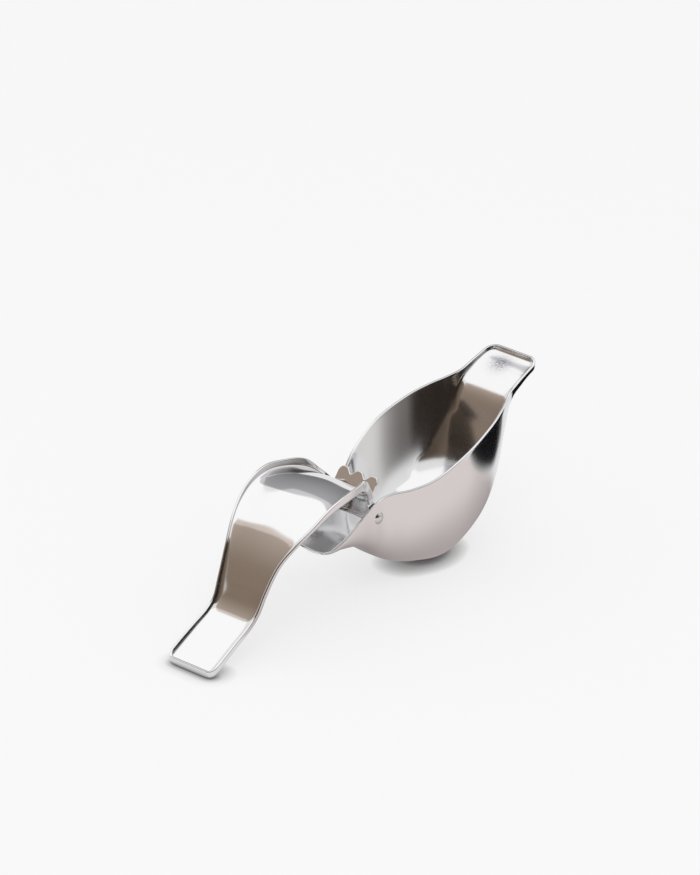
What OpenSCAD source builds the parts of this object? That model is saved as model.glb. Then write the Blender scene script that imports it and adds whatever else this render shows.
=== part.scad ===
// Hinged lemon squeezer: two jaws pressed from stainless sheet, joined by two rivets.
// The bowl jaw holds a lemon wedge and pours from its spout. The press jaw swings over on the
// rivets, pushes its arch into the bowl, and its toothed comb holds the pips back in the throat.
// Everything is drawn opened out flat on a table. +X points along the bowl jaw's finger tab,
// Y is the hinge axis and the plane of symmetry is Y = 0. Z = 0 is the table.

/* [Sheet] */
// Thickness of the sheet that both jaws are pressed from
sheet_t = 1.0; // [0.8:0.1:1.2]
// Radius of the finger tabs' end corners
tab_corner_r = 3.0; // [2:0.5:5]

/* [Bowl jaw] */
// From the hinge axis to the end of the bowl's finger tab, along X
bowl_reach = 84.4; // [78:0.2:92]
// Outside width of the bowl where it is widest
bowl_w = 43.0; // [38:0.2:47]
// Hinge axis above the table, which is also how far the belly hangs below the hinge
hinge_z = 30.2; // [28:0.1:33]
// Height of the rim above the hinge at the tab's end
rim_rise = 31.2; // [27:0.2:34]
// Outside width across the neck's cheeks, where the rivets sit
neck_w = 21.0; // [20:0.2:22.4]
// How far the pouring spout reaches beyond the hinge
spout_reach = 23.2; // [19:0.2:27]
// Outside width of the bowl's finger tab
bowl_tab_w = 23.2; // [20:0.2:25]
// Height of the rim that runs round the bowl's finger tab
bowl_tab_rim = 2.9; // [2.2:0.1:3.6]

/* [Press jaw] */
// From the hinge axis to the end of the press jaw's finger tab, along X
press_reach = 85.0; // [78:0.2:92]
// Outside width of the arch where it is widest
press_w = 37.4; // [34:0.2:38.6]
// Height of the arch above the hinge axis
arch_rise = 17.0; // [15:0.1:19]
// Outside width of the press jaw's finger tab
press_tab_w = 21.4; // [18:0.2:23]
// Height of the flange round the finger tab
press_tab_rim = 3.1; // [2.2:0.1:3.6]
// Height of the flange beside the arch
arch_flange = 4.0; // [3:0.1:4.6]
// How far the arch is crowned between its flanges
arch_crown = 1.0; // [0:0.1:1.4]

/* [Comb] */
// Number of teeth along the comb's edge
teeth = 3; // [2:1:5]
// Distance from the hinge axis to the tips of the teeth
comb_reach = 13.8; // [12:0.1:14]
// Depth of the scallops between the teeth
tooth_depth = 1.6; // [0.8:0.1:2.2]
// Angle that the comb leans back over the bowl
comb_lean = 38; // [28:1:42]

/* [Hinge] */
// Diameter of the rivets' shanks
rivet_d = 3.0; // [2.4:0.1:3.2]
// Diameter of the domed heads on the outside
rivet_head_d = 4.6; // [4:0.1:5.4]
// Height of the domed heads
rivet_head_h = 1.0; // [0.7:0.1:1.3]
// Diameter of the flattened heads on the inside
rivet_tail_d = 4.2; // [3.8:0.1:4.4]
// Radial clearance of the press jaw's ears on the rivets
pivot_clear = 0.05; // [0.02:0.01:0.1]
// Side gap between each ear and its cheek
ear_gap = 0.35; // [0.25:0.05:0.45]

/* [Smoothness] */
// Ribs between one station and the next
ribs_per_bay = 4; // [3:1:4]
// Points across half of a rib
rib_points = 12; // [10:1:14]

/* [Hidden] */
$fn = 64;
steel_satin = [0.80, 0.78, 0.76];
steel_bright = [0.86, 0.85, 0.84];
steel_rivet = [0.72, 0.71, 0.70];

// Growth of each region relative to its nominal size
bx = bowl_reach / 84.4;
sx = spout_reach / 23.2;
dz = hinge_z / 30.2;
rz = rim_rise / 31.2;
px = press_reach / 85.0;
az = arch_rise / 17.0;
fl = arch_flange / 4.0;
hs = neck_w / 21.0;
cs = comb_reach / 13.8;

// Middle of the hinge axis; the origin is on the table below the middle of the open tool
hinge = [(press_reach - bowl_reach) / 2, 0, hinge_z];
cheek_y = neck_w / 2;
ear_out = cheek_y - sheet_t - ear_gap;
ear_in = ear_out - sheet_t;
tail_t = 0.8;
tail_gap = 0.1;
bowl_half = bowl_w / 2;
press_half = press_w / 2;

// Half width part of the way from the neck to the widest place
function bowl_y(k) = cheek_y + k * (bowl_half - cheek_y);

// Bowl stations from spout to tab: rim x, half width, rim z, keel x, keel z, roundness across,
// roundness in depth. Each rib runs from one rim, down round the keel and up to the other rim.
bowl_stations = [
    [-23.2 * sx, 5.6 * hs, -6.5 * hs, -23.3 * sx, -7.8 * hs, 2, 2],
    [-21.6 * sx, 8.8 * hs, -4.8 * hs, -21.4 * sx, -7.9 * hs, 2.2, 2.2],
    [-16.4 * sx, 10.3 * hs, -1.9 * hs, -16.2 * sx, -8.2 * hs, 2.6, 2.6],
    [-9.0 * hs, cheek_y, 2.2 * hs, -8.8 * hs, -9.3 * hs, 4, 4.4],
    [-2.0 * hs, cheek_y, 5.5 * hs, -2.0 * hs, -12.6 * dz, 4.6, 5.6],
    [4.4 * hs, 11.2 * hs, 7.3 * hs, 4.4 * hs, -18.0 * dz, 4, 5.4],
    [12.2 * bx, bowl_y(0.48), 8.3 * rz, 11.2 * bx, -22.4 * dz, 2.8, 4.4],
    [20.9 * bx, bowl_y(0.82), 10.6 * rz, 21.8 * bx, -26.8 * dz, 2.2, 3.4],
    [34.5 * bx, bowl_half, 16.1 * rz, 35.6 * bx, -hinge_z, 2.1, 2.7],
    [47.8 * bx, bowl_y(0.86), 20.4 * rz, 48.0 * bx, -27.0 * dz, 2.1, 2.5],
    [56.3 * bx, bowl_y(0.64), 22.7 * rz, 55.8 * bx, -20.4 * dz, 2.2, 2.5],
    [63.0 * bx, bowl_y(0.38), 24.3 * rz, 60.0 * bx, -6.4, 2.4, 2.7],
    [67.1 * bx, bowl_y(0.22), 25.5 * rz, 63.6 * bx, 8.8, 3, 3],
    [69.9 * bx, bowl_tab_w / 2 + 0.7, 26.3 * rz, 68.0 * bx, 19.7 * rz, 4.5, 4.5],
    [74.1 * bx, bowl_tab_w / 2 + 0.3, 28.0 * rz, 74.2 * bx, 28.0 * rz - bowl_tab_rim - 0.5, 6, 6],
    [78.1 * bx, bowl_tab_w / 2, 29.4 * rz, 78.0 * bx, 29.4 * rz - bowl_tab_rim, 6, 6],
    [bowl_reach - tab_corner_r, bowl_tab_w / 2 - 0.2, 30.6 * rz,
        bowl_reach - tab_corner_r, 30.6 * rz - bowl_tab_rim, 6, 6]];

// Press stations from tab to hinge: underside x and z, half width, flange height, roundness,
// crown, and how far the flange leans from upright to square on the plate.
press_stations = [
    [tab_corner_r - press_reach, -29.1 * dz, press_tab_w / 2, press_tab_rim, 6, 0, 0],
    [-78.0 * px, -26.9 * dz, press_tab_w / 2, press_tab_rim, 6, 0, 0.2],
    [-70.7 * px, -22.7 * dz, press_tab_w / 2 - 0.2, 2.9, 6, 0, 0.8],
    [-64.2 * px, -19.0 * dz, press_tab_w / 2 - 0.4, 2.7, 6, 0, 1],
    [-59.7 * px, -14.5 * dz, press_tab_w / 2 - 0.3, 2.4, 6, 0, 1],
    [-56.4 * px, -7.5 * dz, press_half - 7.6, 2.1, 6, 0, 1],
    [-51.9 * px, 0.7 * az, press_half - 6.1, 1.9, 6, 0.1 * arch_crown, 1],
    [-46.6 * px, 6.9 * az, press_half - 3.5, 1.8, 6, 0.3 * arch_crown, 1],
    [-40.3 * px, 11.8 * az, press_half - 1.2, 2.1, 7, 0.7 * arch_crown, 1],
    [-33.3 * px, 15.5 * az, press_half - 0.1, 2.9 * fl, 8, arch_crown, 1],
    [-25.7 * px, arch_rise, press_half, 3.7 * fl, 9, arch_crown, 1],
    [-18.2 * hs, 16.6 * az, press_half - 1.8, 0.95 * arch_flange, 9, arch_crown, 1],
    [-12.6 * hs, 15.0 * hs, press_half - 4.4, 1.12 * arch_flange, 9, 0.7 * arch_crown, 1],
    [-8.2 * hs, 12.2 * hs, 11.85 * hs, 3.1 * hs, 9, 0.4 * arch_crown, 1],
    [-5.0 * hs, 8.3 * hs, 9.85 * hs, 3.0 * hs, 9, 0.1 * arch_crown, 1],
    [-3.7 * hs, 4.2 * hs, 8.85 * hs, 2.0 * hs, 9, 0, 1],
    [-3.5 * hs, 0.3 * hs, 8.85 * hs, 1.0 * hs, 9, 0, 1]];

// Catmull-Rom curve through rows a, b, c and d, between b and c
function catmull(a, b, c, d, f) =
    0.5 * (2 * b + (c - a) * f + (2 * a - 5 * b + 4 * c - d) * f * f
    + (3 * b - a - 3 * c + d) * f * f * f);

// Row of table t at the real-valued station s
function along(t, s) =
    let (n = len(t), i = min(floor(s), n - 2), b = t[i], c = t[i + 1])
    catmull(i > 0 ? t[i - 1] : 2 * b - c, b, c, i < n - 2 ? t[i + 2] : 2 * c - b, s - i);

function unit(v) = v / norm(v);

// A rib is [rim point at +Y, keel point, roundness across, roundness in depth, crown share]
function bowl_rib(s) =
    let (r = along(bowl_stations, s))
    [[r[0], r[1], r[2]], [r[3], 0, r[4]], r[5], r[6], 0];

function press_rib(s) =
    let (r = along(press_stations, s),
         last = len(press_stations) - 1,
         d = along(press_stations, min(s + 0.05, last)) - along(press_stations, max(s - 0.05, 0)),
         e = unit([d[0], d[1]]))
    [[r[0] - e[1] * r[3] * r[6], r[2], r[1] + r[3] * (e[0] + (1 - r[6]) * e[1] * e[1] / e[0])],
        [r[0], 0, r[1]], r[4], r[4], r[5] / r[3]];

// Ribs of a tab's rounded end: the sides draw in on a circle and the floor turns up to the rim
function tab_end(rib, run) =
    [for (a = [15 : 15 : 90])
        let (u = sin(a), g = max(0.04, pow(1 - pow(u, 4), 0.25)),
             rim = rib[0] + u * run - [0, tab_corner_r * (1 - cos(a)), 0])
        [rim, [rim[0], 0, rim[2] + g * (rib[1][2] - rib[0][2])], rib[2], rib[3], rib[4]]];

// Step from the last rib b of a tab to its end, on the line from rib a
function tab_run(a, b) =
    let (d = b[1] - a[1])
    tab_corner_r * d / abs(d[0]);

function steps(n) = [for (k = [0 : n * ribs_per_bay]) k / ribs_per_bay];
function reversed(v) = [for (k = [len(v) - 1 : -1 : 0]) v[k]];

bowl_main = [for (s = steps(len(bowl_stations) - 1)) bowl_rib(s)];
bowl_last = len(bowl_main) - 1;
bowl_ribs = concat(bowl_main,
    tab_end(bowl_main[bowl_last], tab_run(bowl_main[bowl_last - 1], bowl_main[bowl_last])));

press_main = [for (s = steps(len(press_stations) - 1)) press_rib(s)];
press_ribs = concat(
    reversed(tab_end(press_main[0], tab_run(press_main[1], press_main[0]))), press_main);

// Ribs of the inner skin: rim and keel move inwards by the sheet thickness along their normals
function inner_ribs(r) =
    [for (i = [0 : len(r) - 1])
        let (a = r[max(i - 1, 0)], b = r[min(i + 1, len(r) - 1)],
             tr = b[0] - a[0], tk = b[1] - a[1],
             d = r[i][1] - [r[i][0][0], 0, r[i][0][2]],
             rim = r[i][0] - sheet_t * unit(cross(tr, d)),
             keel = r[i][1] + sheet_t * unit([-tk[2], 0, tk[0]]),
             inner_d = norm(keel - [rim[0], 0, rim[2]]))
        [rim, keel, r[i][2], r[i][3], r[i][4] * norm(d) / max(inner_d, 0.3)]];

// Points across one rib. v runs from -1 at one rim, through 0 at the keel, to 1 at the other
// rim, on the curve |s|^p + |c|^q = 1 between the side position s and the depth c.
function across(v, p, q) =
    let (m = pow(0.5, 1 / p), n = pow(0.5, 1 / q), a = abs(v), side = v < 0 ? -1 : 1)
    a <= 0.5 ? [side * 2 * a * m, pow(1 - pow(2 * a * m, p), 1 / q)]
    : [side * pow(1 - pow(2 * (1 - a) * n, q), 1 / p), 2 * (1 - a) * n];

function rib_line(rib) =
    [for (k = [-rib_points : rib_points])
        let (w = across(k / rib_points, rib[2], rib[3]), c = w[1] - rib[4] * pow(1 - w[0] * w[0], 2))
        [rib[0][0] + (rib[1][0] - rib[0][0]) * c, rib[0][1] * w[0],
         rib[0][2] + (rib[1][2] - rib[0][2]) * c]];

// Closed sheet between the outer and the inner skin of a list of ribs
module pressed_sheet(ribs) {
    n = len(ribs);
    m = 2 * rib_points + 1;
    inner = inner_ribs(ribs);
    pts = concat([for (r = ribs) each rib_line(r)], [for (r = inner) each rib_line(r)]);
    o = n * m;
    skin = [for (i = [0 : n - 2], j = [0 : m - 2]) let (a = i * m + j) [a, a + m, a + m + 1, a + 1]];
    faces = concat(
        skin,
        [for (f = skin) [f[3] + o, f[2] + o, f[1] + o, f[0] + o]],
        [for (i = [0 : n - 2]) [i * m, i * m + o, i * m + m + o, i * m + m]],
        [for (i = [0 : n - 2]) let (a = i * m + m - 1) [a + m, a + m + o, a + o, a]],
        [for (j = [0 : m - 2]) [j + 1, j + 1 + o, j + o, j]],
        [for (j = [0 : m - 2]) let (a = (n - 1) * m + j) [a, a + o, a + 1 + o, a + 1]]);
    polyhedron(points = pts, faces = faces, convexity = 6);
}

// Comb in X and Z: hemmed against the foot of the plate, upright to its knee, then leaning back
fold_r = 0.5 * sheet_t;
comb_foot = [-2.1 * hs, 0.2 * hs];
comb_tip = [2.2 * cs, 13.6 * cs];
knee_rise = 4.6 * cs;
comb_knee = comb_tip - knee_rise * [tan(comb_lean), 1];
comb_foot_half = ear_in - tail_t - tail_gap - 0.3;
comb_top_half = ear_out - 0.45;
comb_pitch = 2 * comb_top_half / (teeth - 0.28);
outer_peak = comb_pitch * (teeth - 1) / 2;
tooth_r = 1.7 * cs;
// Heights at which the comb's sides widen from the foot to the top
widen_from = 4.2 * cs;
widen_to = 6.4 * cs;

module comb_profile() {
    h = sheet_t / 2;
    n1 = unit([comb_knee[1] - comb_foot[1], -(comb_knee[0] - comb_foot[0])]);
    n2 = unit([comb_tip[1] - comb_knee[1], -(comb_tip[0] - comb_knee[0])]);
    nk = unit(n1 + n2);
    polygon([comb_foot - h * n1, comb_knee - h * nk, comb_tip - h * n2,
        comb_tip + h * n2, comb_knee + h * nk, comb_foot + h * n1]);
}

// Height of the comb's edge at the side position y: round teeth with round dips between them,
// level past the outer peaks and rounded off at the comb's corners.
function comb_edge(y) =
    let (past = max(0, abs(y) - comb_top_half + tooth_r), turn = min(abs(y), outer_peak) / comb_pitch)
    comb_tip[1] - tooth_depth * pow((1 + cos(360 * turn + 180 * teeth)) / 2, 1.6)
    - tooth_r + sqrt(max(0, tooth_r * tooth_r - past * past));

// Outline of the comb seen along X: narrow between the rivet tails, wide above, toothed on top
module comb_outline() {
    edge_steps = 36;
    polygon(concat(
        [[-comb_top_half, widen_to], [-comb_foot_half, widen_from], [-comb_foot_half, -1],
            [comb_foot_half, -1], [comb_foot_half, widen_from], [comb_top_half, widen_to]],
        [for (k = [edge_steps : -1 : -edge_steps])
            let (y = comb_top_half * k / edge_steps)
            [y, comb_edge(y)]]));
}

module comb() {
    intersection() {
        rotate([90, 0, 0])
            linear_extrude(height = 2 * comb_top_half, center = true)
                comb_profile();
        rotate([90, 0, 90])
            linear_extrude(height = 2 * comb_reach, center = true)
                comb_outline();
    }
}

// Rounded hem that joins the foot of the comb to the lower edge of the press plate
module hem() {
    translate([comb_foot[0] - fold_r, 0, comb_foot[1]])
        rotate([90, 0, 0])
            cylinder(r = fold_r + 0.52 * sheet_t, h = 2 * comb_foot_half, center = true);
}

// Ear in X and Z: a round lobe about the rivet that runs up into the flange
ear_r = rivet_d / 2 + 1.6 * hs;
ear_root = 0.9 * ear_r;
ear_back = [[-3.5, -0.4], [-3.5, 2.4], [-4.0, 6.2], [-2.4, 7.6], [-1.3, 6.2]] * hs;

module ear_shape() {
    circle(r = ear_r);
    polygon(concat(ear_back, [ear_root * [cos(50), sin(50)], [0, 0], -ear_root * [sin(30), cos(30)]]));
}

module ear() {
    rotate([90, 0, 0])
        linear_extrude(height = sheet_t)
            ear_shape();
}

module bowl_jaw() {
    color(steel_satin)
        translate(hinge)
            difference() {
                pressed_sheet(bowl_ribs);
                rotate([90, 0, 0])
                    cylinder(d = rivet_d, h = neck_w + 4, center = true);
            }
}

module press_jaw() {
    color(steel_bright)
        translate(hinge)
            difference() {
                union() {
                    pressed_sheet(press_ribs);
                    comb();
                    hem();
                    translate([0, ear_out, 0])
                        ear();
                    translate([0, -ear_in, 0])
                        ear();
                }
                rotate([90, 0, 0])
                    cylinder(r = rivet_d / 2 + pivot_clear, h = neck_w + 4, center = true);
            }
}

// Rivet along +Z from the hinge's middle plane: flattened tail inside, domed head outside
module rivet() {
    tail_top = ear_in - tail_gap;
    dome_r = (pow(rivet_head_d / 2, 2) + pow(rivet_head_h, 2)) / (2 * rivet_head_h);
    dome_half = asin(rivet_head_d / 2 / dome_r);
    base = cheek_y - 0.1;
    rotate_extrude()
        polygon(concat(
            [[0, tail_top - tail_t], [rivet_tail_d / 2 - 0.2, tail_top - tail_t],
             [rivet_tail_d / 2, tail_top - tail_t + 0.2], [rivet_tail_d / 2, tail_top],
             [rivet_d / 2, tail_top], [rivet_d / 2, base]],
            [for (k = [0 : 8])
                let (a = dome_half * (1 - k / 8))
                [dome_r * sin(a), base + rivet_head_h - dome_r + dome_r * cos(a)]]));
}

module hinge_rivet_left() {
    color(steel_rivet)
        translate(hinge)
            rotate([-90, 0, 0])
                rivet();
}

module hinge_rivet_right() {
    color(steel_rivet)
        translate(hinge)
            rotate([90, 0, 0])
                rivet();
}

bowl_jaw();
press_jaw();
hinge_rivet_left();
hinge_rivet_right();
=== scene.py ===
# %% [markdown]
# # A hinged lemon squeezer
# Two jaws are pressed from stainless sheet and joined by two rivets. The bowl jaw holds a wedge of
# lemon, the press jaw swings over on the rivets and pushes its arch into the bowl, and a toothed
# comb keeps the pips back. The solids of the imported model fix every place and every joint. This
# lesson dresses them: each sheet is worked out again as a smooth surface with rounded edges, and
# gets the steel finish that the real piece has.

# %% Load the frame
import math
import bpy
import numpy as np
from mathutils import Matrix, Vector


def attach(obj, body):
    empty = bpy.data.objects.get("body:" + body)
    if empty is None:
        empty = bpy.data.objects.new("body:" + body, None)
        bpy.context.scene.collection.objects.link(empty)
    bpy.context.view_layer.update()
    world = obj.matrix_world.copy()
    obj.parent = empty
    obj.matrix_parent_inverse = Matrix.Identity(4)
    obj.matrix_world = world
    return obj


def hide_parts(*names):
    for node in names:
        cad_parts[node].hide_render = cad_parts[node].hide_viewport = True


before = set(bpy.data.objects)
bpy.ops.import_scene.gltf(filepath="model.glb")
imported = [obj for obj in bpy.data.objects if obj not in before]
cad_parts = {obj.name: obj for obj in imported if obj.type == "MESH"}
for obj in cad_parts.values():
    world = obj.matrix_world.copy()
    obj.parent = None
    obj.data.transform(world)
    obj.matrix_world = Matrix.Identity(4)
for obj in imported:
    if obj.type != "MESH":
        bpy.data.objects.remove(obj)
bpy.context.scene.view_settings.view_transform = "Standard"
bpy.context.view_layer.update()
print("solids in the frame:", sorted(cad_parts))

# %% [markdown]
# ## The camera
# A long lens stands about two metres away and looks down at the open tool from beside the press
# jaw's tab. A long lens keeps parallel edges parallel, as in a picture for a catalogue. Two angles
# aim it: the turn about the vertical, and the height above the floor.

# %% Place the camera
TURN, HEIGHT = math.radians(41.8), math.radians(25.5)
STAND = (-1.3857, -1.2363, 0.9435)  # metres
SENSOR_MM, LENS_MM = 36.0, 308.6
toward = Vector((math.cos(HEIGHT) * math.cos(TURN), math.cos(HEIGHT) * math.sin(TURN), -math.sin(HEIGHT)))
lens = bpy.data.cameras.new("long_lens")
lens.sensor_fit, lens.sensor_width, lens.lens = "HORIZONTAL", SENSOR_MM, LENS_MM
lens.clip_start, lens.clip_end = 0.1, 20.0
camera = bpy.data.objects.new("camera", lens)
bpy.context.scene.collection.objects.link(camera)
camera.location = STAND
camera.rotation_mode = "QUATERNION"
camera.rotation_quaternion = toward.to_track_quat("-Z", "Y")
bpy.context.scene.camera = camera
print("camera at", [round(x, 3) for x in camera.location])

# %% [markdown]
# ## Smooth curves through a few stations
# A pressing tool is cut along smooth curves, so a few listed stations describe each jaw. A
# Catmull-Rom curve passes through all of them, and the same rule drives the solids, so the skin
# made here lies on them. All sizes below are millimetres from the hinge axis.

# %% Stations of both jaws
SHEET = 1.0  # thickness of the steel
HINGE = np.array([0.3, 0.0, 30.2])  # the hinge axis, from the part's origin
CHEEK, BOWL_HALF, PRESS_HALF, EAR_OUT = 10.5, 21.49, 18.7, 9.15  # half widths, to the outer skin
EAR_IN = EAR_OUT - SHEET
BOWL_TAB, PRESS_TAB = 11.6, 10.7  # half widths of the two finger tabs
BOWL_CORNER, PRESS_CORNER = 4.5, 3.0  # radii of the tabs' corners


def bowl_y(share):
    """Half width part of the way from the cheeks to the widest place of the bowl."""
    return CHEEK + share * (BOWL_HALF - CHEEK)


# rim x, half width, rim z, keel x, keel z, roundness across, roundness in depth
BOWL = np.array([
    [-23.2, 5.6, -6.5, -23.3, -7.8, 2, 2], [-21.6, 8.8, -4.8, -21.4, -7.9, 2.2, 2.2],
    [-16.4, 10.3, -1.9, -16.2, -8.2, 2.6, 2.6], [-9.0, CHEEK, 2.2, -8.8, -9.3, 4, 4.4],
    [-2.0, CHEEK, 5.5, -2.0, -12.6, 4.6, 5.6], [4.4, 11.2, 7.3, 4.4, -18.0, 4, 5.4],
    [12.2, bowl_y(0.48), 8.3, 11.2, -22.4, 2.8, 4.4], [20.9, bowl_y(0.82), 10.6, 21.8, -26.8, 2.2, 3.4],
    [34.5, BOWL_HALF, 16.1, 35.6, -30.2, 2.1, 2.7], [47.8, bowl_y(0.86), 20.4, 48.0, -27.0, 2.1, 2.5],
    [56.3, bowl_y(0.64), 22.7, 55.8, -20.4, 2.2, 2.5], [63.0, bowl_y(0.38), 24.3, 60.0, -6.4, 2.4, 2.7],
    [67.1, bowl_y(0.22), 25.5, 63.6, 8.8, 3, 3], [69.9, BOWL_TAB + 0.7, 26.3, 68.0, 19.7, 4.5, 4.5],
    [74.1, BOWL_TAB + 0.3, 28.0, 74.2, 24.6, 6, 6], [78.1, BOWL_TAB, 29.4, 78.0, 26.5, 6, 6],
    [81.4, BOWL_TAB - 0.2, 30.6, 81.4, 27.7, 6, 6]])

# underside x, z, half width, flange height, roundness, crown, flange lean
PRESS = np.array([
    [-82.0, -29.1, PRESS_TAB, 3.1, 6, 0, 0], [-78.0, -26.9, PRESS_TAB, 3.1, 6, 0, 0.2],
    [-70.7, -22.7, PRESS_TAB - 0.2, 2.9, 6, 0, 0.8], [-64.2, -19.0, PRESS_TAB - 0.4, 2.7, 6, 0, 1],
    [-59.7, -14.5, PRESS_TAB - 0.3, 2.4, 6, 0, 1], [-56.4, -7.5, PRESS_HALF - 7.6, 2.1, 6, 0, 1],
    [-51.9, 0.7, PRESS_HALF - 6.1, 1.9, 6, 0.1, 1], [-46.6, 6.9, PRESS_HALF - 3.5, 1.8, 6, 0.3, 1],
    [-40.3, 11.8, PRESS_HALF - 1.2, 2.1, 7, 0.7, 1], [-33.3, 15.5, PRESS_HALF - 0.1, 2.9, 8, 1, 1],
    [-25.7, 17.0, PRESS_HALF, 3.7, 9, 1, 1], [-18.2, 16.6, PRESS_HALF - 1.8, 3.8, 9, 1, 1],
    [-12.6, 15.0, PRESS_HALF - 4.4, 4.5, 9, 0.7, 1], [-8.2, 12.2, 11.85, 3.1, 9, 0.4, 1],
    [-5.0, 8.3, 9.85, 3.0, 9, 0.1, 1], [-3.7, 4.2, 8.85, 2.0, 9, 0, 1], [-3.5, 0.3, 8.85, 1.0, 9, 0, 1]])


def along(table, s):
    """Rows of a table at real-valued stations s: a Catmull-Rom curve, with its ends reflected."""
    t = np.vstack([2 * table[0] - table[1], table, 2 * table[-1] - table[-2]])
    i = np.clip(np.floor(s).astype(int), 0, len(table) - 2)
    f = (s - i)[:, None]
    a, b, c, d = t[i], t[i + 1], t[i + 2], t[i + 3]
    square, cube = 2 * a - 5 * b + 4 * c - d, 3 * b - a - 3 * c + d
    return 0.5 * (2 * b + (c - a) * f + square * f**2 + cube * f**3)


def unit(v):
    """Vectors divided by their length, along the last axis."""
    return v / np.maximum(np.linalg.norm(v, axis=-1, keepdims=True), 1e-9)


print("stations:", len(BOWL), "in the bowl jaw,", len(PRESS), "in the press jaw")

# %% [markdown]
# ## Ribs
# Each jaw is a row of ribs. A rib starts at one rim, runs down round the keel and climbs to the
# other rim on a rounded-square curve, so a rib can be round as in the bowl or square as in a
# flange. A tab ends in ribs that draw in on a circle while the floor turns up to the rim.

# %% Ribs from stations
EDGE = 0.32  # how far the rounding of a sheared and tumbled edge reaches into the sheet


def bowl_ribs(s):
    """Rim point at +Y, keel point, both roundnesses and no crown, for each station s."""
    r = along(BOWL, s)
    zero = np.zeros(len(s))
    keel = np.stack([r[:, 3], zero, r[:, 4]], 1)
    return dict(rim=r[:, 0:3], keel=keel, p=r[:, 5], q=r[:, 6], crown=zero)


def press_ribs(s):
    """As for the bowl, but the keel is the plate itself, and the rim stands off it by the flange's
    height: along the plate's normal where lean is 1, straight up where it is 0."""
    r, last = along(PRESS, s), len(PRESS) - 1
    d = along(PRESS, np.minimum(s + 0.05, last)) - along(PRESS, np.maximum(s - 0.05, 0))
    e = unit(d[:, 0:2])
    h, lean = r[:, 3], r[:, 6]
    rim = np.stack([r[:, 0] - e[:, 1] * h * lean, r[:, 2],
                    r[:, 1] + h * (e[:, 0] + (1 - lean) * e[:, 1] ** 2 / e[:, 0])], 1)
    keel = np.stack([r[:, 0], np.zeros(len(s)), r[:, 1]], 1)
    return dict(rim=rim, keel=keel, p=r[:, 4], q=r[:, 4], crown=r[:, 5] / h)


def tab_end(ribs, at, slope, corner):
    """Ribs past a tab's last one. With u from 0 to 1, the sides draw in on a quarter circle, and the
    floor turns up to the rim on the curve u^4 + g^4 = 1. The ribs stand closer towards the end."""
    run = corner * slope / abs(slope[0])
    a = np.radians(np.array([6, 13, 20, 27, 34, 41, 48, 55, 61, 67, 72, 77, 81, 85, 88, 90]))
    u = np.sin(a)
    depth = ribs["keel"][at, 2] - ribs["rim"][at, 2]
    g = np.maximum(EDGE / abs(depth), np.clip(1 - u**4, 0, 1) ** 0.25)
    rim = ribs["rim"][at] + u[:, None] * run
    rim[:, 1] -= corner * (1 - np.cos(a))
    keel = np.stack([rim[:, 0], 0 * u, rim[:, 2] + g * depth], 1)
    same = {k: np.full(len(u), ribs[k][at]) for k in ("p", "q", "crown")}
    return dict(rim=rim, keel=keel, **same)


def joined(first, second):
    """Two rows of ribs, one after the other."""
    return {k: np.concatenate([first[k], second[k]]) for k in first}


def backwards(ribs):
    """The same ribs from the other end."""
    return {k: v[::-1] for k, v in ribs.items()}


def inner_ribs(r):
    """Ribs of the inner skin: rim and keel step inwards by the sheet's thickness, square to the skin,
    and the crown keeps its height in millimetres."""
    n = len(r["p"])
    lo, hi = np.maximum(np.arange(n) - 1, 0), np.minimum(np.arange(n) + 1, n - 1)
    tr, tk = r["rim"][hi] - r["rim"][lo], r["keel"][hi] - r["keel"][lo]
    middle = r["rim"] * [1, 0, 1]
    d = r["keel"] - middle
    rim = r["rim"] - SHEET * unit(np.cross(tr, d))
    keel = r["keel"] + SHEET * unit(np.stack([-tk[:, 2], 0 * tk[:, 0], tk[:, 0]], 1))
    inner_d = np.linalg.norm(keel - rim * [1, 0, 1], axis=1)
    crown = r["crown"] * np.linalg.norm(d, axis=1) / np.maximum(inner_d, 0.3)
    return dict(rim=rim, keel=keel, p=r["p"], q=r["q"], crown=crown)


def skin(r, half_count):
    """Grid of points over the ribs. Side s and depth c of each point follow |s|^p + |c|^q = 1."""
    v = np.linspace(-1, 1, 2 * half_count + 1)[None, :]
    a, side = np.abs(v), np.where(v < 0, -1.0, 1.0)
    p, q = r["p"][:, None], r["q"][:, None]
    m, n = 0.5 ** (1 / p), 0.5 ** (1 / q)
    low_s, high_c = 2 * a * m, 2 * (1 - a) * n
    s = side * np.where(a <= 0.5, low_s, np.clip(1 - high_c**q, 0, 1) ** (1 / p))
    c = np.where(a <= 0.5, np.clip(1 - low_s**p, 0, 1) ** (1 / q), high_c)
    c = c - r["crown"][:, None] * (1 - s**2) ** 2
    down = r["keel"] - r["rim"] * [1, 0, 1]
    cut = np.clip(EDGE / np.maximum(np.linalg.norm(down, axis=1), 1e-9), 0, 1)[:, None]
    c = cut + c * (1 - cut)
    x = r["rim"][:, None, 0] + down[:, None, 0] * c
    z = r["rim"][:, None, 2] + down[:, None, 2] * c
    return np.stack([x, r["rim"][:, None, 1] * s, z], -1)


fine_rim = bowl_ribs(np.linspace(0, len(BOWL) - 1, 200))["rim"]
print("bowl jaw is widest", round(fine_rim[fine_rim[:, 1].argmax(), 0], 1), "mm from the hinge axis")

# %% [markdown]
# ## From two skins to one closed sheet
# A pressing has an outer skin, an inner skin and a sheared edge that tumbling has rounded. The two
# skins are grids. The edge is a narrow band that runs once round both of them, and its section is
# half of a rounded square, so light catches it as a thin bright line.

# %% Close a sheet round its edge
def grid_quads(n, m, start=0):
    """Corner numbers of the squares of an n by m grid. Its first point has the number start."""
    i, j = np.meshgrid(np.arange(n - 1), np.arange(m - 1), indexing="ij")
    a = (start + i * m + j).ravel()
    return np.stack([a, a + m, a + m + 1, a + 1], 1)


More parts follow.
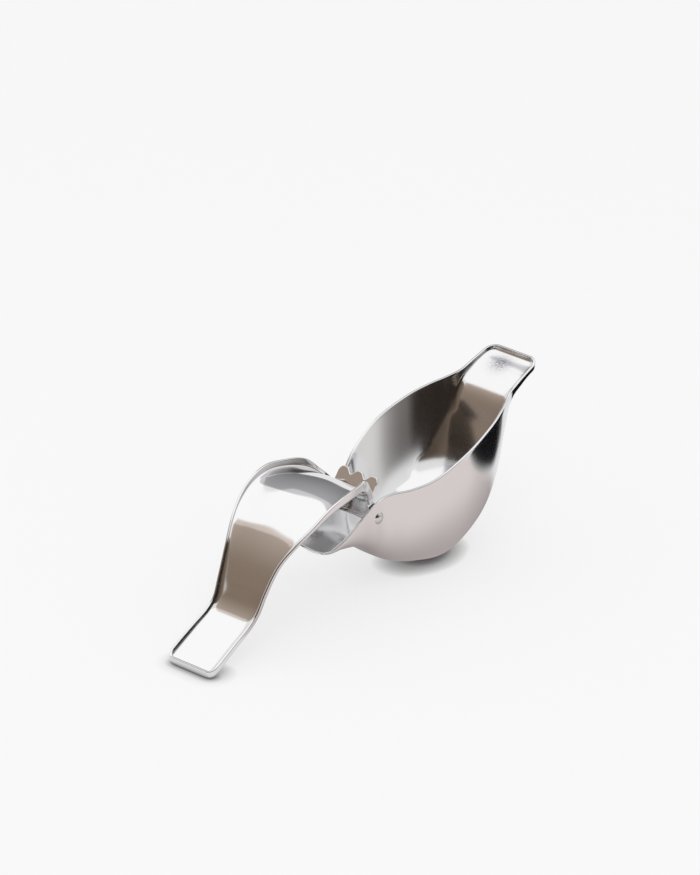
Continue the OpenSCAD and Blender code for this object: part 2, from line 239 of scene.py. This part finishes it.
def closed_sheet(outer, inner, steps=6):
    """Points, squares and UV of a sheet. The edge band goes from the outer rim to the inner one on
    the curve |x|^2.6 + |y|^2.6 = 1, standing out by EDGE. UV is the distance along and across, in mm."""
    n, m, _ = outer.shape
    up_n, up_m = np.arange(n - 1), np.arange(m - 1)
    i = np.concatenate([up_n, np.full(m - 1, n - 1), n - 1 - up_n, np.zeros(m - 1, int)])
    j = np.concatenate([np.zeros(n - 1, int), up_m, np.full(n - 1, m - 1), m - 1 - up_m])
    middle = (outer + inner) / 2
    step_i = np.where(i == 0, 1, np.where(i == n - 1, -1, 0))
    step_j = np.where(j == 0, 1, np.where(j == m - 1, -1, 0))
    here = middle[i, j]
    out = unit(here - middle[i + step_i, j]) * (step_i != 0)[:, None]
    out = unit(out + unit(here - middle[i, j + step_j]) * (step_j != 0)[:, None])
    phi = np.pi * np.arange(1, steps + 1) / (steps + 1)
    power = 2 / 2.6
    across = (np.sign(np.cos(phi)) * np.abs(np.cos(phi)) ** power)[None, :, None]
    beyond = (EDGE * np.sin(phi) ** power)[None, :, None]
    half = (outer[i, j] - inner[i, j]) / 2
    band = here[:, None] + half[:, None] * across + out[:, None] * beyond
    points = np.concatenate([outer.reshape(-1, 3), inner.reshape(-1, 3), band.reshape(-1, 3)])
    first = 2 * n * m
    k = len(i)
    rows = np.concatenate([(i * m + j)[:, None], first + np.arange(k * steps).reshape(k, steps),
                           (n * m + i * m + j)[:, None]], 1)
    nxt = np.roll(rows, -1, 0)
    ring = np.stack([rows[:, :-1], rows[:, 1:], nxt[:, 1:], nxt[:, :-1]], -1).reshape(-1, 4)
    quads = np.concatenate([grid_quads(n, m), grid_quads(n, m, n * m)[:, ::-1], ring])
    steps_along = np.linalg.norm(np.diff(middle[:, m // 2], axis=0), axis=1)
    far = np.concatenate([[0], np.cumsum(steps_along)])
    wide = np.cumsum(np.linalg.norm(np.diff(middle, axis=1, prepend=middle[:, :1]), axis=2), axis=1)
    wide -= wide[:, m // 2:m // 2 + 1]
    uv = np.stack([np.broadcast_to(far[:, None], (n, m)), wide], -1)
    uv = np.concatenate([uv.reshape(-1, 2), uv.reshape(-1, 2), np.repeat(uv[i, j], steps, 0)])
    return points, quads, uv


def signed_volume(points, quads):
    """Volume inside closed squares, positive when they face outwards: each triangle spans a
    tetrahedron with the origin, and a sixth of its triple product is that tetrahedron's volume."""
    a, b, c, d = (points[quads[:, k]] for k in range(4))
    return (np.sum(a * np.cross(b, c)) + np.sum(a * np.cross(c, d))) / 6


def put_piece(name, parts):
    """One mesh object from closed parts of (points in mm from the hinge axis, squares, UV in mm)."""
    points, quads, uvs, count = [], [], [], 0
    for p, q, uv in parts:
        q = q if signed_volume(p, q) > 0 else q[:, ::-1]
        points.append((p + HINGE) / 1000)
        quads.append(q + count)
        uvs.append(uv)
        count += len(p)
    points, quads, uvs = np.concatenate(points), np.concatenate(quads), np.concatenate(uvs)
    mesh = bpy.data.meshes.new(name)
    mesh.vertices.add(len(points))
    mesh.vertices.foreach_set("co", points.astype(np.float32).ravel())
    mesh.loops.add(quads.size)
    mesh.loops.foreach_set("vertex_index", quads.astype(np.int32).ravel())
    mesh.polygons.add(len(quads))
    mesh.polygons.foreach_set("loop_start", (4 * np.arange(len(quads))).astype(np.int32))
    mesh.polygons.foreach_set("use_smooth", np.ones(len(quads), bool))
    layer = mesh.uv_layers.new(name="millimetres")
    layer.data.foreach_set("uv", uvs[quads.ravel()].astype(np.float32).ravel())
    mesh.update(calc_edges=True)
    mesh.validate()
    piece = bpy.data.objects.new(name, mesh)
    bpy.context.scene.collection.objects.link(piece)
    print(name, len(points), "points,", 2 * len(quads), "triangles")
    return piece


# %% [markdown]
# ## The bowl jaw
# One pressing makes the bowl, the spout, the two cheeks and the finger tab. It could be sculpted, or
# cut from a turned bowl, but a single family of ribs from the spout's lip to the tab keeps the sheet
# equally thick all the way, as deep-drawn steel nearly is. The rounded edge stands out past the
# outermost ribs, so the first and the last station step back by a share of a bay.

# %% Make the bowl jaw
PER_BAY = 10  # ribs between two stations
ACROSS = 40  # points from the keel to a rim


def stations(count, start=0.0, end=0.0):
    """Evenly spread stations over a table of count rows, stepped back at its ends."""
    return np.linspace(start, count - 1 - end, (count - 1) * PER_BAY + 1)


main = bowl_ribs(stations(len(BOWL), start=EDGE / 2.0, end=0.48))
full = joined(main, tab_end(main, -1, main["keel"][-1] - main["keel"][-2], BOWL_CORNER))
bowl_sheet = closed_sheet(skin(full, ACROSS), skin(inner_ribs(full), ACROSS))
bowl_piece = put_piece("bowl_jaw_pressing", [bowl_sheet])

# %% [markdown]
# ## Lean of the bowl's inner side
# The wall of the solid stands steep, so that the arch can sink between its sides at any depth. A
# drawn bowl flares a little more, and that decides what its inner side mirrors: a steep wall sees
# the opposite wall over and over and turns to noise, a flared one sees the room over the near rim.
# Changing the surface would close the gap to the arch, so only the shading normals tip. On the walls
# they tip upwards and back towards the spout. Under a line that falls from the tab's corner to the
# neck the wall gives way to a broad sloping bottom, so there they turn towards the tab's end and up,
# which leaves a crisp crease along the line.
#
# The same cell marks two places for the finish: the neck, where polishing wheels don't reach, and a
# patch that thumbs have worn dull on the finger tab.

# %% Tip the shading normals
LEAN_X, LEAN_UP = [0, 57, 62, 67], [0.62, 0.60, 0.45, 0]  # how far a wall's normal leans up
BACK_X, LEAN_BACK = [0, 30, 56, 63], [-0.10, -0.21, -0.21, 0]  # and back towards the spout
CREASE_X, CREASE_Z = [20, 45, 56, 66], [-20, -9, 1, 19]  # the crease, seen from the side
CREASE_WIDE = 1.2
RISE_Z, RISE = [-16, -6, 2, 15], [0.92, 0.69, 0.47, 0.38]  # upward part of the bottom's normal
BOTTOM_TURN = 0.45  # share of its sideways turn that the bottom keeps
WORN_X, WORN_Y, WORN_LONG, WORN_WIDE = 78.5, 2.0, 3.2, 3.6


def soft(t):
    """0 up to t = 0, 1 from t = 1 on, and a smooth step between."""
    t = np.clip(t, 0, 1)
    return t * t * (3 - 2 * t)


def lean_inside(piece, first, count):
    """Tips the normals of the inner skin's points. Above the crease it adds (back, 0, up) times the
    normal's sideways part. Below it the normal becomes (-run, part of its y, rise), where rise goes
    by height and run by run^2 + rise^2 = 1. The worn patch is the bell e^-(dx^2 + dy^2)."""
    mesh = piece.data
    place, normal = np.empty((2, len(mesh.vertices), 3), np.float32)
    mesh.vertices.foreach_get("co", place.ravel())
    mesh.vertices.foreach_get("normal", normal.ravel())
    x, y, z = (place * 1000 - HINGE).T
    up, back = np.interp(x, LEAN_X, LEAN_UP), np.interp(x, BACK_X, LEAN_BACK)
    inside = np.zeros(len(x))
    inside[first:first + count] = 1
    wall = inside * soft((x + 4) / 10) * np.abs(normal[:, 1])
    walls = unit(normal + wall[:, None] * np.stack([back, 0 * back, up], 1))
    rise = np.interp(z, RISE_Z, RISE)
    run = np.sqrt(1 - rise**2) * np.clip((x - 36) / 14, 0, 1)
    bottom = unit(np.stack([-run, BOTTOM_TURN * normal[:, 1], rise], 1))
    below = soft((np.interp(x, CREASE_X, CREASE_Z) - z) / CREASE_WIDE)
    below = (inside * below * soft((x - 24) / 12) * soft((14 - z) / 4))[:, None]
    tipped = unit(walls * (1 - below) + bottom * below)
    mesh.normals_split_custom_set_from_vertices(tipped)
    marks = {"neck": inside * (1 - soft((x - 2) / 10)),
             "worn": inside * np.exp(-((x - WORN_X) / WORN_LONG) ** 2 - ((y - WORN_Y) / WORN_WIDE) ** 2)}
    for mark, value in marks.items():
        layer = mesh.attributes.new(mark, "FLOAT", "POINT")
        layer.data.foreach_set("value", value.astype(np.float32))
    least = np.sum(tipped * unit(normal), 1).min()
    print("normals tip by up to", round(math.degrees(math.acos(least)), 1), "degrees")


skin_size = len(full["p"]) * (2 * ACROSS + 1)
lean_inside(bowl_piece, skin_size, skin_size)

# %% [markdown]
# ## The press jaw
# The second pressing has its own finger tab, the flanged arch, the ears round the rivets and the
# comb. Its ribs are the square kind: a flat plate with a flange turned up at each side. The comb is
# the same sheet, folded back at the hinge end and cut into round teeth. It is made as a band with
# its own middle path, because no rib could run through a fold and a toothed edge at once. The ears
# are rings round the rivets. All of them go into one mesh, since they are one pressing.

# %% Make the press jaw's plate and flanges
main = press_ribs(stations(len(PRESS), start=0.03))
full = joined(backwards(tab_end(main, 0, main["keel"][0] - main["keel"][1], PRESS_CORNER)), main)
plate = closed_sheet(skin(full, ACROSS), skin(inner_ribs(full), ACROSS))

# %% Make the comb
TEETH, TOOTH_DEPTH, TOOTH_R, COMB_LEAN = 3, 1.6, 1.7, math.radians(38)
FOOT, TIP = np.array([-2.1, 0.2]), np.array([2.2, 13.6])
KNEE_RISE, FOLD = 4.6, 0.5
KNEE = TIP - KNEE_RISE * np.array([math.tan(COMB_LEAN), 1.0])
FOOT_HALF, TOP_HALF = EAR_IN - 1.2, EAR_OUT - 0.45
PITCH = 2 * TOP_HALF / (TEETH - 0.28)  # the outer teeth are cut a little short


def comb_edge(y):
    """Height of the toothed edge: round teeth and dips up to the outer peaks, level past them, and
    the corners on a quarter circle."""
    past = np.maximum(0, np.abs(y) - TOP_HALF + TOOTH_R)
    turn = np.minimum(np.abs(y) / PITCH, (TEETH - 1) / 2)
    dip = ((1 + np.cos(2 * np.pi * turn + np.pi * TEETH)) / 2) ** 1.6
    return TIP[1] - TOOTH_DEPTH * dip - TOOTH_R + np.sqrt(np.maximum(0, TOOTH_R**2 - past**2))


def comb_path(t):
    """Middle of the comb's sheet in X and Z for t from 0 to 1: down the plate's foot, round the
    fold, up to the knee and back to the tip, with every bend softened by a running mean."""
    turn = np.linspace(math.pi, 2 * math.pi, 13)
    fold = FOOT + [-FOLD, 0] + FOLD * np.stack([np.cos(turn), np.sin(turn)], 1)
    path = np.vstack([fold[0] + [0, 1.2], fold, KNEE, TIP])
    path = np.vstack([path, path[-1] + unit(path[-1] - path[-2])])
    far = np.concatenate([[0], np.cumsum(np.linalg.norm(np.diff(path, axis=0), axis=1))])
    at = np.asarray(t)[..., None] * (far[-1] - 1) + np.linspace(-0.5, 0.5, 9)
    return np.stack([np.interp(at, far, path[:, k]).mean(-1) for k in (0, 1)], -1)


def comb_sheet():
    """Comb as two skins, half a sheet to each side of its middle path. Across it runs y, and along
    it t, which stops in each column where the path reaches the toothed edge."""
    even = np.linspace(-1, 1, 161)
    v = (np.sin(np.pi / 2 * even) + even) / 2
    fine = np.linspace(0.4, 1, 400)
    top = np.interp(comb_edge(TOP_HALF * v) - EDGE * 0.5, comb_path(fine)[:, 1], fine)
    t = np.linspace(0, 1, 70)[:, None] * top[None, :]
    xz = comb_path(t)
    e = unit(comb_path(np.minimum(t + 0.003, 1)) - comb_path(np.maximum(t - 0.003, 0)))
    normal = np.stack([-e[..., 1], e[..., 0]], -1)
    widen = np.clip((xz[..., 1] - 4.2) / 2.2, 0, 1) * (t > 0.15)
    y = (FOOT_HALF + (TOP_HALF - FOOT_HALF) * widen) * v[None, :]
    skins = [xz + k * SHEET / 2 * normal for k in (-1, 1)]
    return closed_sheet(*[np.stack([q[..., 0], y, q[..., 1]], -1) for q in skins])


print("comb is", round(comb_edge(0.0) - FOOT[1], 1), "mm high at its middle tooth")

# %% Make the ears
EAR_R, HOLE_R, EAR_EDGE = 3.1, 1.55, 0.2
EAR_OUTLINE = np.array([[-3.5, -0.4], [-3.5, 2.4], [-4.0, 6.2], [-2.4, 7.6], [-1.3, 6.2],
                        [EAR_R * math.cos(math.radians(50)), EAR_R * math.sin(math.radians(50))],
                        [-EAR_R * math.sin(math.radians(30)), -EAR_R * math.cos(math.radians(30))]])


def wrapped_quads(n, m, close_m):
    """Corner numbers of the squares of an n by m grid that closes on itself along n, and along m
    too where close_m is true."""
    i, j = np.meshgrid(np.arange(n), np.arange(m if close_m else m - 1), indexing="ij")
    after_i, after_j = (i + 1) % n, (j + 1) % m
    return np.stack([i * m + j, after_i * m + j, after_i * m + after_j, i * m + after_j], -1).reshape(-1, 4)


def ear_sheet(side):
    """Ear as a ring from the rivet hole out to its outline, along straight rays from the axis. A ray
    r * (cos a, sin a) meets the outline's line p + s * d at r = (p x d) / (ray x d)."""
    a = np.linspace(0, 2 * np.pi, 145)[:-1]
    ray = np.stack([np.cos(a), np.sin(a)], 1)
    p, q = EAR_OUTLINE, np.roll(EAR_OUTLINE, -1, 0)
    d = q - p
    cross = ray[:, None, 0] * d[None, :, 1] - ray[:, None, 1] * d[None, :, 0]
    cross = np.where(np.abs(cross) < 1e-9, 1e-9, cross)
    t = (p[None, :, 0] * d[None, :, 1] - p[None, :, 1] * d[None, :, 0]) / cross
    s = (p[None, :, 0] * ray[:, None, 1] - p[None, :, 1] * ray[:, None, 0]) / cross
    hit = np.where((s >= -1e-6) & (s <= 1 + 1e-6) & (t > 0), t, 0).max(1)
    reach = np.maximum(hit, EAR_R)
    for _ in range(3):
        reach = (np.roll(reach, 1) + 2 * reach + np.roll(reach, -1)) / 4
    share = np.array([0, 0.08, 0.25, 0.5, 0.75, 0.92])
    face = HOLE_R + (reach[:, None] - HOLE_R) * share
    turned, tip = reach[:, None] - EAR_EDGE, reach[:, None]
    ring_r = np.concatenate([face, turned, tip, tip, turned, face[:, ::-1]], 1)
    count = len(share) + 1
    ring_y = np.array([EAR_OUT] * count + [EAR_OUT - EAR_EDGE, EAR_IN + EAR_EDGE] + [EAR_IN] * count)
    ring_y = np.broadcast_to(side * ring_y, ring_r.shape)
    points = np.stack([ring_r * ray[:, :1], ring_y, ring_r * ray[:, 1:]], -1).reshape(-1, 3)
    return points, wrapped_quads(*ring_r.shape, True), points[:, [0, 2]]


press_piece = put_piece("press_jaw_pressing", [plate, comb_sheet(), ear_sheet(1), ear_sheet(-1)])

# %% [markdown]
# ## The rivets
# Each rivet is turned on a lathe, pushed through cheek and ear, and headed: a low dome stands
# outside, and a flat tail is pressed out inside. A half section turned round the hinge axis gives
# both ends at once, as the lathe does. The tail's foot has a small round, and the head a sharp lip.

# %% Turn the rivets
RIVET_R, HEAD_R, HEAD_H, TAIL_R, TAIL_H = 1.5, 2.3, 1.0, 2.1, 0.8
FOOT_R, PLAY, ON_AXIS = 0.3, 0.1, 1e-4


def rivet(side):
    """Half section in (radius, distance from the middle plane), turned round the hinge axis. The
    dome is an arc of radius (head radius^2 + head height^2) / (2 * head height)."""
    tail = EAR_IN - PLAY
    base = CHEEK - PLAY
    dome_r = (HEAD_R**2 + HEAD_H**2) / (2 * HEAD_H)
    a = np.linspace(math.asin(HEAD_R / dome_r), 0, 14)
    dome = np.stack([dome_r * np.sin(a), base + HEAD_H - dome_r + dome_r * np.cos(a)], 1)
    b = np.linspace(0, np.pi / 2, 6)
    foot = np.stack([TAIL_R - FOOT_R + FOOT_R * np.sin(b), tail - TAIL_H + FOOT_R - FOOT_R * np.cos(b)], 1)
    flat = np.stack([np.linspace(ON_AXIS, TAIL_R - FOOT_R - 0.05, 4), np.full(4, tail - TAIL_H)], 1)
    shank = [[TAIL_R, tail - 0.02], [TAIL_R - 0.02, tail], [RIVET_R, tail], [RIVET_R, base]]
    lip = [[HEAD_R - 0.12, base], [HEAD_R, base + 0.05]]
    section = np.vstack([flat, foot, shank, lip, dome[1:]])
    section[-1, 0] = ON_AXIS
    turn = np.linspace(0, 2 * np.pi, 97)[:-1, None]
    r, y = section[None, :, 0], section[None, :, 1]
    points = np.stack([r * np.cos(turn), side * y + 0 * turn, r * np.sin(turn)], -1).reshape(-1, 3)
    return points, wrapped_quads(len(turn), len(section), False), points[:, [0, 2]]


rivet_left = put_piece("rivet_left_turned", [rivet(1)])
rivet_right = put_piece("rivet_right_turned", [rivet(-1)])

# %% [markdown]
# ## Materials
# Everything is stainless steel, so every colour is nearly the same light neutral grey, and what
# differs is the last step of its making. Polished steel shows hardly any colour of its own: the eye
# reads it by what it mirrors and by how sharply. So the finish lies in the roughness, which wavers
# along a grain, and in a bump far shallower than a hair. The grain is noise, drawn out along the
# pressing, on the sheet's own UV in millimetres, so that it follows the bends.
#
# Real brushing lines are a few hundredths of a millimetre wide, too fine to show in the render, so
# they are drawn coarser: 0.10 mm wide on the jaws, and 0.15 mm on the rivets.

# %% Helpers for materials
def linear(hex_colour):
    """sRGB hex to the linear RGBA that a shader reads."""
    c = np.array([int(hex_colour[k:k + 2], 16) for k in (1, 3, 5)]) / 255
    rgb = np.where(c <= 0.04045, c / 12.92, ((c + 0.055) / 1.055) ** 2.4)
    return (*rgb, 1.0)


def node(tree, kind, inputs=(), **settings):
    """Adds one node, sets its properties, and sets or links its inputs by name."""
    made = tree.nodes.new(kind)
    for key, value in settings.items():
        setattr(made, key, value)
    for key, value in dict(inputs).items():
        if isinstance(value, bpy.types.NodeSocket):
            tree.links.new(value, made.inputs[key])
        else:
            made.inputs[key].default_value = value
    return made


NECK_SATIN = 0.22  # roughness added in the neck
WORN_TONE, WORN_SPOTS_PER_MM = linear("#76767E"), 1.4


def steel(name, colour, rough_low, rough_high, grain_mm, stretch, bump):
    """Stainless steel with a grain of noise that is grain_mm wide and stretch times as long. It
    drives the roughness between two values, and a bump in metres. The neck adds roughness, and the
    worn patch darkens the steel in spots of about 0.7 mm, coarser than real scratches, to show."""
    material = bpy.data.materials.new(name)
    material.use_nodes = True
    tree = material.node_tree
    tree.nodes.clear()
    place = node(tree, "ShaderNodeUVMap", uv_map="millimetres")
    drawn = node(tree, "ShaderNodeMapping", {
        "Vector": place.outputs["UV"], "Scale": (1 / (grain_mm * stretch), 1 / grain_mm, 1)})
    grain = node(tree, "ShaderNodeTexNoise", {
        "Vector": drawn.outputs["Vector"], "Scale": 1.0, "Detail": 3.0, "Roughness": 0.6})
    rough = node(tree, "ShaderNodeMapRange", {
        "Value": grain.outputs["Fac"], "From Min": 0.3, "From Max": 0.7,
        "To Min": rough_low, "To Max": rough_high})
    neck = node(tree, "ShaderNodeAttribute", attribute_name="neck")
    rough = node(tree, "ShaderNodeMath", {
        0: neck.outputs["Fac"], 1: NECK_SATIN, 2: rough.outputs["Result"]}, operation="MULTIPLY_ADD")
    height = node(tree, "ShaderNodeBump", {
        "Height": grain.outputs["Fac"], "Strength": 1.0, "Distance": bump})
    worn = node(tree, "ShaderNodeAttribute", attribute_name="worn")
    spots = node(tree, "ShaderNodeTexNoise", {
        "Vector": place.outputs["UV"], "Scale": WORN_SPOTS_PER_MM, "Detail": 4.0})
    spots = node(tree, "ShaderNodeMapRange", {
        "Value": spots.outputs["Fac"], "From Min": 0.35, "From Max": 0.65, "To Min": 0.25})
    worn = node(tree, "ShaderNodeMath", {
        0: worn.outputs["Fac"], 1: spots.outputs["Result"]}, operation="MULTIPLY")
    tint = node(tree, "ShaderNodeMix", {
        0: worn.outputs[0], 6: linear(colour), 7: WORN_TONE}, data_type="RGBA")
    shader = node(tree, "ShaderNodeBsdfPrincipled", {
        "Base Color": tint.outputs[2], "Metallic": 1.0,
        "Roughness": rough.outputs[0], "Normal": height.outputs["Normal"]})
    node(tree, "ShaderNodeOutputMaterial", {"Surface": shader.outputs["BSDF"]})
    return material


# Deep-drawn sheet, brushed and lightly buffed: mirrored shapes keep their place but lose their
# edges, so the belly reads as a soft sweep from white to dark.
bowl_steel = steel("stainless_steel_satin_brushed", "#DDDDDE", 0.11, 0.16, 0.10, 30, 5e-7)
# Pressed sheet, polished on a wheel: borders between light and dark stay crisp on the arch, with
# only a faint drag along the length.
press_steel = steel("stainless_steel_polished", "#DEDEDF", 0.05, 0.10, 0.10, 30, 8e-7)
# Turned bar, headed cold: a little darker and duller than the sheet, so a rivet stands out.
rivet_steel = steel("stainless_steel_turned", "#D4D4D5", 0.15, 0.25, 0.15, 4, 2e-6)
print("finishes:", [m.name for m in (bowl_steel, press_steel, rivet_steel)])

# %% [markdown]
# ## Tie the pieces to the bodies
# The imported model has two bodies: the bowl with both rivets, and the press jaw that swings on them.
# Each piece is parented to an empty named for its body, and it replaces that solid in the render.

# %% Parents and replacements
for piece, body, solid, finish, slot in (
        (bowl_piece, "bowl", "bowl_jaw", bowl_steel, "bowl_steel"),
        (press_piece, "press", "press_jaw", press_steel, "press_steel"),
        (rivet_left, "bowl", "hinge_rivet_left", rivet_steel, "rivet_steel"),
        (rivet_right, "bowl", "hinge_rivet_right", rivet_steel, "rivet_steel")):
    piece.data.materials.append(finish)
    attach(piece, body)
    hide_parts(solid)
    print(piece.name, "rides on", body, "in place of", solid)

# %% [markdown]
# ## Cards for the steel to mirror
# Polished steel in an all-white room looks like paper. A product studio therefore stands cards
# round a metal piece, and here the cards are painted reflections: glowing panels that only mirrors
# see. A taupe one makes the arch warm and gives it an edge, a dark room on the near side gives the
# walls depth, and a dark one on the floor paints a dark reflection that draws the belly's outline. A
# picture of a room wrapped round the scene could do this too, but plain cards are easy to move, and
# each is only two tones and a blend. Only reflections see them, so that they don't dim the light,
# and their edges dissolve, because a hard edge in a mirror catches the eye.

# %% Stand the cards
OBJECT_MIDDLE = np.array([0.0, 0.0, 0.03])
GRID = 41
UP, ALONG = np.meshgrid(np.linspace(0, 1, GRID), np.linspace(0, 1, GRID), indexing="ij")


def direction(azimuth, height):
    """Unit vectors from two angles in degrees, as (cos h cos a, cos h sin a, sin h): azimuth a from
    +X towards +Y, and height h above the floor."""
    a, h = np.radians(azimuth), np.radians(height)
    return np.stack([np.cos(h) * np.cos(a), np.cos(h) * np.sin(a), np.sin(h)], -1)


def glow_card(name, points, tones, share, fade):
    """Card over a grid of points that only reflections see: no camera ray, no shadow and no light on
    the floor. Its light is first tone + share * (second tone - first tone). Its edges dissolve over
    the fade, by 1 - (i^4 + j^4)^(1/4), with i and j from -1 to 1 over the card."""
    first, second = (np.array(linear(tone)) for tone in tones)
    glow = first + (second - first) * share[..., None]
    i, j = 2 * UP - 1, 2 * ALONG - 1
    glow[:, :, 3] = np.clip((1 - (i**4 + j**4) ** 0.25) / fade, 0, 1)
    mesh = bpy.data.meshes.new(name)
    mesh.from_pydata(points.reshape(-1, 3), [], grid_quads(GRID, GRID))
    layer = mesh.color_attributes.new("glow", "FLOAT_COLOR", "POINT")
    layer.data.foreach_set("color", glow.ravel().astype(np.float32))
    card = bpy.data.objects.new(name, mesh)
    bpy.context.scene.collection.objects.link(card)
    paint = bpy.data.materials.new(name + "_paint")
    paint.use_nodes = True
    paint.cycles.emission_sampling = "NONE"
    tree = paint.node_tree
    tree.nodes.clear()
    colour = node(tree, "ShaderNodeVertexColor", layer_name="glow")
    light = node(tree, "ShaderNodeEmission", {"Color": colour.outputs["Color"]})
    clear = node(tree, "ShaderNodeBsdfTransparent")
    both = node(tree, "ShaderNodeMixShader", {"Fac": colour.outputs["Alpha"]})
    tree.links.new(clear.outputs["BSDF"], both.inputs[1])
    tree.links.new(light.outputs["Emission"], both.inputs[2])
    node(tree, "ShaderNodeOutputMaterial", {"Surface": both.outputs["Shader"]})
    mesh.materials.append(paint)
    card.visible_camera = card.visible_shadow = card.visible_diffuse = False
    print(name, "from", tones[0], "to", tones[1])


def round_card(name, azimuths, heights, tones, share, fade=0.06, distance=1.5):
    """Curved card between two azimuths and two heights in degrees, all at one distance in metres."""
    azimuth = azimuths[0] + (azimuths[1] - azimuths[0]) * ALONG
    height = heights[0] + (heights[1] - heights[0]) * UP
    glow_card(name, distance * direction(azimuth, height) + OBJECT_MIDDLE, tones, share, fade)


def flat_card(name, corners, tones, share, fade, height=0.001):
    """Card just above the floor between four corners in metres, given round its edge. Its points
    blend between the first two corners and the last two, and then between those two lines."""
    a, b, c, d = (np.array([x, y, height]) for x, y in corners)
    u, v = UP[..., None], ALONG[..., None]
    points = (a * (1 - v) + b * v) * (1 - u) + (d * (1 - v) + c * v) * u
    glow_card(name, points, tones, share, fade)


round_card("grey_card_behind", (68, 32), (10, 51), ("#7A7A7C", "#C0BFC1"), UP)
round_card("taupe_card_left", (117, 146), (-6, 48), ("#8A7768", "#C8B8AA"), UP**2)
round_card("dark_room_left", (143, 268), (-3, 51), ("#8A7968", "#302924"), 1 - (1 - ALONG) ** 3)
round_card("dark_room_near", (240, 328), (-3, 42), ("#332B25", "#F2EFEC"),
           soft((ALONG - 0.3) / 0.5) * soft((UP + 0.25) / 0.85), fade=0.12)
flat_card("brown_card_on_floor", [(-0.02, 0.05), (0.04, 0.12), (-0.75, 0.95), (-1.0, 0.45)],
          ("#8A7A6A", "#9A8878"), UP, fade=0.2)
# Painted reflection: a black panel that only mirrors see, so the belly's near side shows a dark patch.
flat_card("painted_dark_reflection_on_floor", [(0.097, -0.006), (0.27, -0.016), (0.31, -0.19), (0.100, -0.105)],
          ("#18181B", "#08080A"), ALONG, fade=0.12)
# Painted reflection of the floor in the belly: pinkish paper towards the camera, darkening near the bowl
# into a painted reflection of its contact shadow.
flat_card("painted_floor_and_shadow_reflection", [(-0.06, -0.25), (0.11, -0.25), (0.11, 0.03), (-0.06, 0.03)],
          ("#F3E9E7", "#8A8280"), soft((UP - 0.64) / 0.36), fade=0.12, height=0.0005)

# %% [markdown]
# ## Lamps, floor and background
# Two wide softboxes light the floor, so that the shadow stays broad and faint. The steel sees only
# the one behind, and that one is weak: an area lamp adds its light to whatever stands behind it in
# a mirror, and a strong one would burn out the white places.
#
# The floor is white paper. Most of its white is its own glow, seen only by the camera and in
# mirrors, and the rest is lit and carries the shadow. Without more the glow would wash out the dark
# line where the bowl touches down, so ambient occlusion over a few millimetres dims it there.

# %% Hang the lamps
LAMPS = {"softbox_behind": dict(side=(90, 74), distance=1.2, size=1.3, watts=1.5, mirrored=True),
         "softbox_in_front": dict(side=(-130, 60), distance=2.5, size=1.5, watts=14, mirrored=False)}
for name, plan in LAMPS.items():
    box = bpy.data.lights.new(name, "AREA")
    box.shape = "SQUARE"
    box.size, box.energy = plan["size"], plan["watts"]
    lamp = bpy.data.objects.new(name, box)
    bpy.context.scene.collection.objects.link(lamp)
    away = direction(*plan["side"])
    lamp.location = OBJECT_MIDDLE + plan["distance"] * away
    lamp.rotation_mode = "QUATERNION"
    lamp.rotation_quaternion = Vector(-away).to_track_quat("-Z", "Y")
    lamp.visible_camera = False
    lamp.visible_glossy = plan["mirrored"]
    print(name, plan["watts"], "W at", [round(c, 2) for c in lamp.location])

# %% Lay the floor
LIFT = 0.7  # share of the floor's white that is its own glow
TOUCH_M, NEAR_M = 0.0025, 0.006  # reach of the two occlusions


def seen_directly(tree):
    """1 for rays from the camera, a mirror or glass, else 0."""
    path = node(tree, "ShaderNodeLightPath")
    seen = node(tree, "ShaderNodeMath", {
        0: path.outputs["Is Camera Ray"], 1: path.outputs["Is Glossy Ray"]}, operation="MAXIMUM")
    seen = node(tree, "ShaderNodeMath", {
        0: seen.outputs[0], 1: path.outputs["Is Transmission Ray"]}, operation="MAXIMUM")
    return seen.outputs[0]


floor_mesh = bpy.data.meshes.new("floor")
floor_mesh.from_pydata([(-6, -6, 0), (6, -6, 0), (6, 6, 0), (-6, 6, 0)], [], [(0, 1, 2, 3)])
floor = bpy.data.objects.new("floor", floor_mesh)
bpy.context.scene.collection.objects.link(floor)
floor_paint = bpy.data.materials.new("white_paper")
floor_paint.use_nodes = True
tree = floor_paint.node_tree
tree.nodes.clear()
paper = node(tree, "ShaderNodeBsdfDiffuse", {"Color": linear("#F6F6F6")})
touch = node(tree, "ShaderNodeAmbientOcclusion", {"Distance": TOUCH_M}, samples=8)
near = node(tree, "ShaderNodeAmbientOcclusion", {"Distance": NEAR_M}, samples=8)
open_air = node(tree, "ShaderNodeMath", {
    0: touch.outputs["AO"], 1: near.outputs["AO"]}, operation="MULTIPLY")
lift = node(tree, "ShaderNodeMath", {0: seen_directly(tree), 1: LIFT}, operation="MULTIPLY")
glow = node(tree, "ShaderNodeEmission", {
    "Color": linear("#FAFAFA"), "Strength": open_air.outputs[0]})
both = node(tree, "ShaderNodeMixShader", {"Fac": lift.outputs[0]})
tree.links.new(paper.outputs["BSDF"], both.inputs[1])
tree.links.new(glow.outputs["Emission"], both.inputs[2])
node(tree, "ShaderNodeOutputMaterial", {"Surface": both.outputs["Shader"]})
floor_mesh.materials.append(floor_paint)
print("floor glows for", LIFT, "of its white")

# %% Paint the background
LIGHT_LEVEL = 0.75  # strength of the room's light; the background itself is white
world = bpy.data.worlds.new("studio")
bpy.context.scene.world = world
world.use_nodes = True
world.cycles.sampling_method = "NONE"
tree = world.node_tree
tree.nodes.clear()
level = node(tree, "ShaderNodeMapRange", {
    "Value": seen_directly(tree), "To Min": LIGHT_LEVEL, "To Max": 1.0})
sky = node(tree, "ShaderNodeBackground", {
    "Color": linear("#FFFFFF"), "Strength": level.outputs["Result"]})
node(tree, "ShaderNodeOutputWorld", {"Surface": sky.outputs["Background"]})
